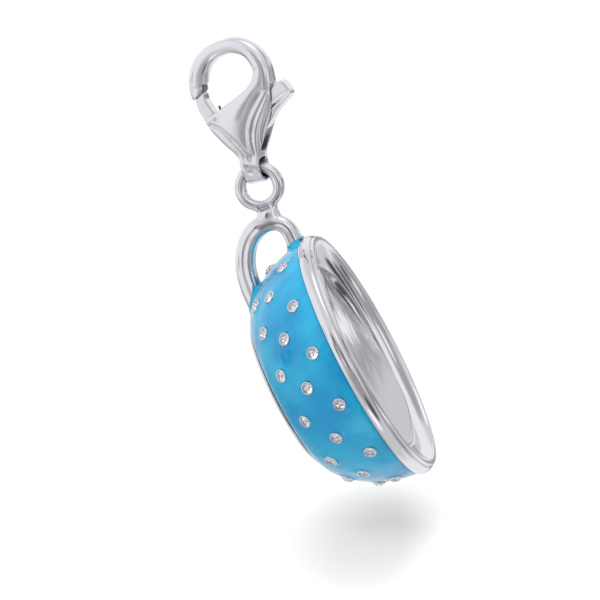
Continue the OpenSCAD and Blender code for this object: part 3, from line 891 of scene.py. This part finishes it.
def collar(middle, half, clear, border, faces):
    """The enamel that climbs the handle from the wall, with a fillet at its foot and a rounded edge."""
    normal = Vector((cos(radians(faces)), sin(radians(faces))))

    def beside(x, away, u, v):
        return (x, (half[1] + away) * v, middle + (half[0] + away) * u)

    rings = []
    for k in range(COLLAR_COLUMNS):
        side = oval(tau * k / COLLAR_COLUMNS, 2.2)
        ring = []
        for s in range(9):
            q = radians(90 * s / 8)
            _, y, z = beside(0, clear + COLLAR_FILLET * (1 - sin(q)), *side)
            z = min(max(z, WALL_FOOT + 0.02), BAND_FOOT + 0.05)
            wall = sqrt(max(bowl_r(z) ** 2 - y * y, 1))
            ring.append((wall + COLLAR_FILLET * (1 - cos(q)) - COLLAR_SUNK, y, z))
        start = ring[-1][0]
        # Where the border's plane cuts the line along the handle: normal . (x, z) = normal . border.
        stop = (normal.dot(Vector(border)) - normal[1] * beside(0, clear, *side)[2]) / normal[0]
        stop = max(min(stop, COLLAR_REACH), start + 0.05) - COLLAR_ROUND
        ring += [beside(start + (stop - start) * s / 8, clear, *side) for s in range(1, 9)]
        for q in (radians(90 * s / 4) for s in range(1, 5)):
            ring.append(beside(stop + COLLAR_ROUND * sin(q), clear * cos(q), *side))
        # Back inside the handle, to a narrow ring in the wall.
        ring.append((start - 1.5, half[1] * 0.5 * side[1], middle + half[0] * 0.5 * side[0]))
        rings.append(ring)
    return skin("collar", rings, closed=True)


class CHARM_OT_enamel(bpy.types.Operator):
    """Lays the blue enamel over the cup's wall and round the roots of its handle"""
    bl_idname = "charm.enamel"
    bl_label = "Enamel"

    def execute(self, context):
        coat = joined("enamel_coat", [enamel_wall()] + [collar(*row) for row in COLLARS])
        placed(coat, cup_matrix(), glossy_blue_enamel)
        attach(coat, "pendant")
        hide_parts("cup_enamel")
        # Its colour isn't thrown on to the floor, whose shadow stays grey.
        coat.visible_diffuse = False
        return {"FINISHED"}


# Stones and their bezels

# Seeds of their random turns, and how far a stone's girdle lies below its bezel's top.
BEZEL_SEED = 3
STONE_SEED = 8
STONE_SUNK = 0.05


def stone_points(name):
    """A point for every stone, in metres in the shared frame, with the way out of the enamel."""
    matrices = [cup_matrix() @ stone_matrix(*place) for place in stone_places()]
    piece = new_mesh(name, [m.translation * MM for m in matrices], [])
    out = piece.data.attributes.new("way_out", "FLOAT_VECTOR", "POINT")
    for item, m in zip(out.data, matrices):
        item.vector = m.to_3x3() @ Vector((0, 0, 1))
    return piece


def set_on_places(name, tree_name, shape, seed, material):
    """The shape at every stone's place, its z out of the enamel, each turned by a random angle."""
    shape.data.transform(Matrix.Scale(MM, 4))
    inputs = [("Shape", "NodeSocketObject", shape), ("Seed", "NodeSocketInt", seed),
              ("Material", "NodeSocketMaterial", material_of(material))]
    tree, given = begin_tree(tree_name, inputs)
    way = add_node(tree, "GeometryNodeInputNamedAttribute", {"Name": "way_out"}, data_type="FLOAT_VECTOR")
    lean = add_node(tree, "FunctionNodeAlignRotationToVector", {"Vector": way}, axis="Z")
    angle = add_node(tree, "FunctionNodeRandomValue", {3: tau, "Seed": given["Seed"]}, data_type="FLOAT")
    spin = add_node(tree, "FunctionNodeAxisAngleToRotation", {"Axis": (0, 0, 1), "Angle": angle.outputs[1]})
    turn = add_node(tree, "FunctionNodeRotateRotation", {"Rotation": lean, "Rotate By": spin}, rotation_space="LOCAL")
    model = add_node(tree, "GeometryNodeObjectInfo", {"Object": given["Shape"]})
    row = add_node(tree, "GeometryNodeInstanceOnPoints", {
        "Points": given["Geometry"], "Instance": model.outputs["Geometry"], "Rotation": turn})
    end_tree(tree, given, row)
    piece = run_tree(stone_points(name), tree, inputs)
    drop(shape)
    return piece


def bezel_profile(radius, height, stone):
    """Half section of a bezel: its bed under the stone, the seat, the round edge and the wall down into the enamel."""
    lip = (radius - stone) / 2 + 0.012
    top = height - lip
    profile = [(0, -0.27), (stone * 0.6, -0.22), (stone - 0.04, 0.0), (stone - 0.02, top - 0.03)]
    profile += arc((radius - lip, top), lip, 170, 0, 10)
    return profile + [(radius, 0.0), (radius + 0.01, -0.1), (radius, -0.33), (0, -0.33)]


class CHARM_OT_bezels(bpy.types.Operator):
    """Sets a thin round bezel at the place of every stone"""
    bl_idname = "charm.bezels"
    bl_label = "Bezels"

    def execute(self, context):
        profile = bezel_profile(sizes().bezel_radius / MM, sizes().bezel_height / MM, sizes().stone_radius / MM)
        shape = lathe("bezel_shape", profile, segments=40)
        shape.data.shade_smooth()
        piece = set_on_places("stone_bezels", "bezels_on_places", shape, BEZEL_SEED, bright_cut_sterling_silver)
        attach(piece, "pendant")
        return {"FINISHED"}


def cut_stone(radius, height):
    """A round brilliant with its girdle's foot at this height: table, star, main and girdle facets above, long
    facets below."""
    table, middle, low = 0.56 * radius, 0.8 * radius, 0.22 * radius
    crown, girdle, depth = 0.34 * radius, 0.07 * radius, 0.62 * radius
    points = circle(table, crown + girdle, 8) + circle(middle, girdle + crown * 0.47, 8, pi / 8)
    points += circle(radius, girdle, 16) + circle(radius, 0.0, 16)
    points += circle(low, -depth * 0.78, 8, pi / 8) + [(0, 0, -depth)]
    # Where the points of each ring begin: stars, the girdle's top and foot, the long facets; last, the tip.
    star, upper, lower, long, tip = 8, 16, 32, 48, 56
    faces = [tuple(range(star))]
    for k in range(8):
        n, before = (k + 1) % 8, (k - 1) % 8
        faces += [
            (k, n, star + k), (k, star + k, upper + 2 * k, star + before),
            (star + k, upper + 2 * k + 1, upper + 2 * k), (star + k, upper + 2 * n, upper + 2 * k + 1),
            (lower + 2 * k + 1, long + k, lower + 2 * k), (lower + 2 * n, long + k, lower + 2 * k + 1),
            (long + k, tip, long + before, lower + 2 * k)]
    faces += [(upper + k, upper + (k + 1) % 16, lower + (k + 1) % 16, lower + k) for k in range(16)]
    stone = outward(new_mesh("cut_stone", points, faces))
    stone.data.transform(Matrix.Translation((0, 0, height)))
    return stone


class CHARM_OT_stones(bpy.types.Operator):
    """Sets a cut clear stone in every bezel"""
    bl_idname = "charm.stones"
    bl_label = "Stones"

    def execute(self, context):
        shape = cut_stone(sizes().stone_radius / MM, sizes().bezel_height / MM - STONE_SUNK)
        piece = set_on_places("clear_stones", "stones_on_places", shape, STONE_SEED, cut_clear_stone)
        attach(piece, "pendant")
        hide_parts(*[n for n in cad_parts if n.startswith("stone_")])
        return {"FINISHED"}


# Stage

# Degrees that the camera is turned and rolled, its lens and sensor, the picture's size and scale, and where the hang
# point stands in it from its top left.
CAMERA_TURN = 10.1
CAMERA_ROLL = 22.7
CAMERA_LENS = 1000
CAMERA_SENSOR = 36
PICTURE_PX = 600
PX_PER_M = 12000.0
HANG_PX = (222.09, 56.2)
# The floor in metres from the picture's middle: how far down it lies, from where to where it goes to the right and
# towards the camera, and its slope in degrees.
FLOOR_UNDER = 0.0214
FLOOR_SIDES = (-0.006, 0.018)
FLOOR_REACH = (-0.0125, 0.03)
FLOOR_SLOPE = 25.0
# Softboxes: metres to the right, up and towards the camera from the picture's middle, and watts.
SOFTBOXES = {"key_softbox": ((0, 0.25, 0), 0.35), "front_softbox": ((-0.15, 0.12, 0.3), 0.55)}
SOFTBOX_SIZE = 0.2


# The tent as the charm sees it. A card's degrees to the right and up from the camera, degrees from its middle to
# the end of its even part and to where it has faded out, and its grey. Later cards lie over earlier ones.
TENT_GREY = 0.62
TENT = ((180, 0, 50, 100, 0.88), (0, 80, 35, 62, 0.66), (35, 75, 14, 26, 1.15), (0, -80, 25, 50, 0.6),
        (-10, -66, 6, 16, 1.05), (95, 0, 24, 44, 0.36), (75, 56, 8, 18, 0.8), (105, 38, 12, 26, 0.4),
        (-130, -35, 15, 38, 0.4), (-80, 10, 30, 52, 0.84), (7, -8, 28, 52, 0.34), (-5, 36, 12, 24, 0.7),
        (22, -40, 9, 17, 0.1), (-22, -8, 6, 14, 0.48), (-38, -3, 3, 10, 0.26), (-4, 2, 6, 12, 0.2),
        (-18, -5, 2, 5, 0.85), (18, 14, 6, 15, 0.85), (15, 32, 3, 13, 1.0), (-27, 13, 3, 8, 0.1),
        (50, 9, 8, 18, 0.85), (106, 26, 3, 9, 0.95), (119, 2, 3, 6, 0.12), (104, 4, 3, 8, 0.8),
        (-83, -4, 3, 7, 0.15), (148, 1, 4, 13, 0.62), (133, 10, 4, 9, 0.16), (157, 12, 5, 9, 0.62),
        (172, 4, 11, 15, 0.36), (173, 3, 9, 11, 0.95), (174, 2, 7.4, 8.6, 0.08), (147, 10, 3.5, 6.5, 0.08))


class CHARM_OT_stage(bpy.types.Operator):
    """Sets up the camera, the floor and the studio light"""
    bl_idname = "charm.stage"
    bl_label = "Stage"

    def execute(self, context):
        # Right, up and towards the camera, and the same from the picture's middle.
        axes = rotation(CAMERA_TURN, "Z") @ rotation(90, "X") @ rotation(-CAMERA_ROLL, "Z")
        half = PICTURE_PX / 2
        picture = axes @ Matrix.Translation(((half - HANG_PX[0]) / PX_PER_M, (HANG_PX[1] - half) / PX_PER_M, 0))
        self.camera(picture)
        self.floor(picture)
        self.lights(picture)
        self.world(axes)
        view = bpy.context.scene.view_settings
        view.view_transform = "Standard"
        view.look = "None"
        return {"FINISHED"}

    def camera(self, picture):
        """A long lens far away, level but rolled, so that the charm that hangs plumb stands tilted in the picture."""
        data = bpy.data.cameras.new("camera")
        data.lens, data.sensor_width = CAMERA_LENS, CAMERA_SENSOR
        data.clip_start, data.clip_end = 0.01, 10
        camera = linked("camera", data)
        distance = (PICTURE_PX / PX_PER_M) * CAMERA_LENS / CAMERA_SENSOR
        camera.matrix_world = picture @ Matrix.Translation((0, 0, distance))
        bpy.context.scene.camera = camera

    def floor(self, picture):
        """A pale floor that slopes towards the camera under the cup, level in the picture, clear of the charm."""
        slope = tan(radians(FLOOR_SLOPE))
        points = [picture @ Vector((r, -FLOOR_UNDER - b * slope, b)) for r in FLOOR_SIDES for b in FLOOR_REACH]
        floor = new_mesh("pale_floor", points, [(0, 1, 3, 2)])
        give(floor, matt_white_floor)
        floor.visible_glossy = False

    def lights(self, picture):
        """Softboxes that only light the charm, because what it mirrors is the tent."""
        for name, (place, power) in SOFTBOXES.items():
            data = bpy.data.lights.new(name, "AREA")
            data.size, data.energy = SOFTBOX_SIZE, power
            light = linked(name, data)
            light.location = picture @ Vector(place)
            light.rotation_euler = (picture.translation - light.location).to_track_quat("-Z", "Y").to_euler()
            light.visible_camera = light.visible_glossy = False

    def world(self, axes):
        """A white tent with grey and dark cards in it for the silver to reflect, plain white behind the charm."""
        world = bpy.data.worlds.new("studio_tent")
        bpy.context.scene.world = world
        world.use_nodes = True
        tree = world.node_tree
        tree.nodes.clear()
        way = add_node(tree, "ShaderNodeTexCoord").outputs["Generated"]
        colour = grey(TENT_GREY)
        for turn, rise, near, far, shade in TENT:
            a, b = radians(turn), radians(rise)
            middle = axes @ Vector((sin(a) * cos(b), sin(b), cos(a) * cos(b)))
            side = add_node(tree, "ShaderNodeVectorMath", {0: way, 1: middle}, operation="DOT_PRODUCT")
            share = add_node(tree, "ShaderNodeMapRange", {
                "Value": side.outputs["Value"], "From Min": cos(radians(far)),
                "From Max": cos(radians(near))}, interpolation_type="SMOOTHSTEP")
            colour = add_node(tree, "ShaderNodeMix", {
                0: share, 6: colour, 7: (shade, shade, shade * 1.01, 1)}, data_type="RGBA").outputs[2]
        lit = add_node(tree, "ShaderNodeBackground", {"Color": colour})
        seen = add_node(tree, "ShaderNodeBackground", {"Color": grey(1)})
        straight = add_node(tree, "ShaderNodeLightPath").outputs["Is Camera Ray"]
        both = add_node(tree, "ShaderNodeMixShader", {0: straight, 1: lit, 2: seen})
        add_node(tree, "ShaderNodeOutputWorld", {"Surface": both})


OPERATORS = (CHARM_OT_clasp, CHARM_OT_lever, CHARM_OT_pin, CHARM_OT_spring, CHARM_OT_cup, CHARM_OT_enamel,
             CHARM_OT_bezels, CHARM_OT_stones, CHARM_OT_stage)


class CHARM_PT_panel(bpy.types.Panel):
    """Lists the charm's pieces and what can be changed"""
    bl_idname = "CHARM_PT_panel"
    bl_label = "Teacup charm"
    bl_space_type = "VIEW_3D"
    bl_region_type = "UI"
    bl_category = "Charm"

    def draw(self, context):
        column = self.layout.column(align=True)
        for operator in OPERATORS:
            column.operator(operator.bl_idname)
        for group in (context.scene.charm_sizes, context.scene.charm_finish):
            column = self.layout.column()
            for key in group.__annotations__:
                column.prop(group, key)


CLASSES = (CharmSizes, CharmFinish, *OPERATORS, CHARM_PT_panel)


def register():
    for cls in CLASSES:
        bpy.utils.register_class(cls)
    bpy.types.Scene.charm_sizes = bpy.props.PointerProperty(type=CharmSizes)
    bpy.types.Scene.charm_finish = bpy.props.PointerProperty(type=CharmFinish)


def unregister():
    del bpy.types.Scene.charm_finish
    del bpy.types.Scene.charm_sizes
    for cls in reversed(CLASSES):
        bpy.utils.unregister_class(cls)


def main():
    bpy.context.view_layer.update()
    register()
    for operator in OPERATORS:
        group, name = operator.bl_idname.split(".")
        getattr(getattr(bpy.ops, group), name)()


if __name__ == "__main__":
    main()
